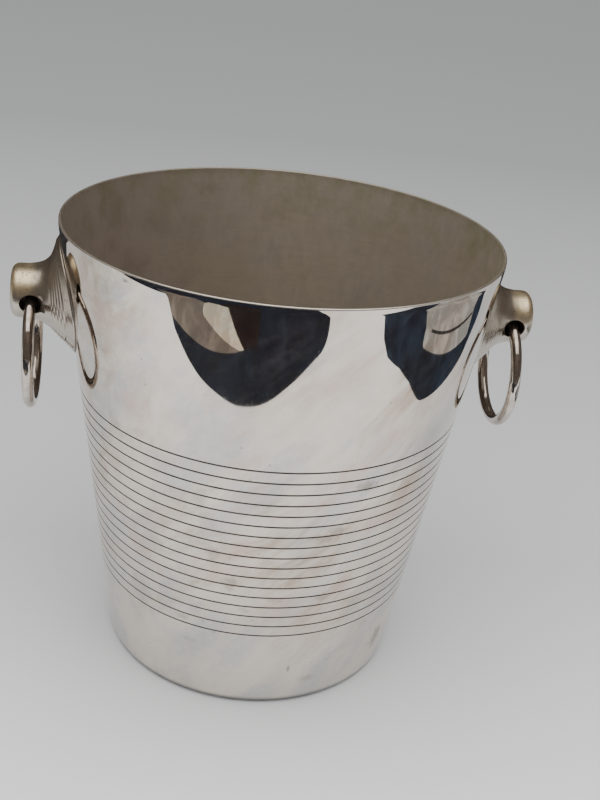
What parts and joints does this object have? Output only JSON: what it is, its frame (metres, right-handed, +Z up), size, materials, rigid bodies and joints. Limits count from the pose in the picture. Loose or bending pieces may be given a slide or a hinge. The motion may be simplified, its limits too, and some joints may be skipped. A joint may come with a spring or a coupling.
{
  "type": "champagne bucket",
  "caption": "Tapered polished champagne bucket with turned grooves round its lower wall and a free-hanging ring handle on a cast lug at each side.",
  "frame": {"origin": "centre of the bucket's bottom, on the surface it stands on", "axes": "+Z up along the bucket's axis, the two ring lugs on +X and -X, -Y towards the viewer"},
  "size_m": [0.2388, 0.198, 0.21],
  "materials": {
    "silver_plate": "polished",
    "cast_plate": "polished",
    "ring_plate": "polished",
    "solder": "satin",
    "braze": "satin"
  },
  "bodies": {
    "bucket": {"bucket_body": "silver_plate", "lug_left": "cast_plate", "lug_right": "cast_plate", "lug_solder_left": "solder", "lug_solder_right": "solder"},
    "ring_left": {"ring_left": "ring_plate", "ring_braze_left": "braze"},
    "ring_right": {"ring_right": "ring_plate", "ring_braze_right": "braze"}
  },
  "joints": [
    {"name": "ring_left_swing", "type": "hinge", "parent": "bucket", "child": "ring_left", "pos_m": [-0.1102, 0, 0.1708], "axis": [0, 1, 0], "range_deg": [-22, 186]},
    {"name": "ring_right_swing", "type": "hinge", "parent": "bucket", "child": "ring_right", "pos_m": [0.1102, 0, 0.1708], "axis": [0, -1, 0], "range_deg": [-22, 186]}
  ]
}
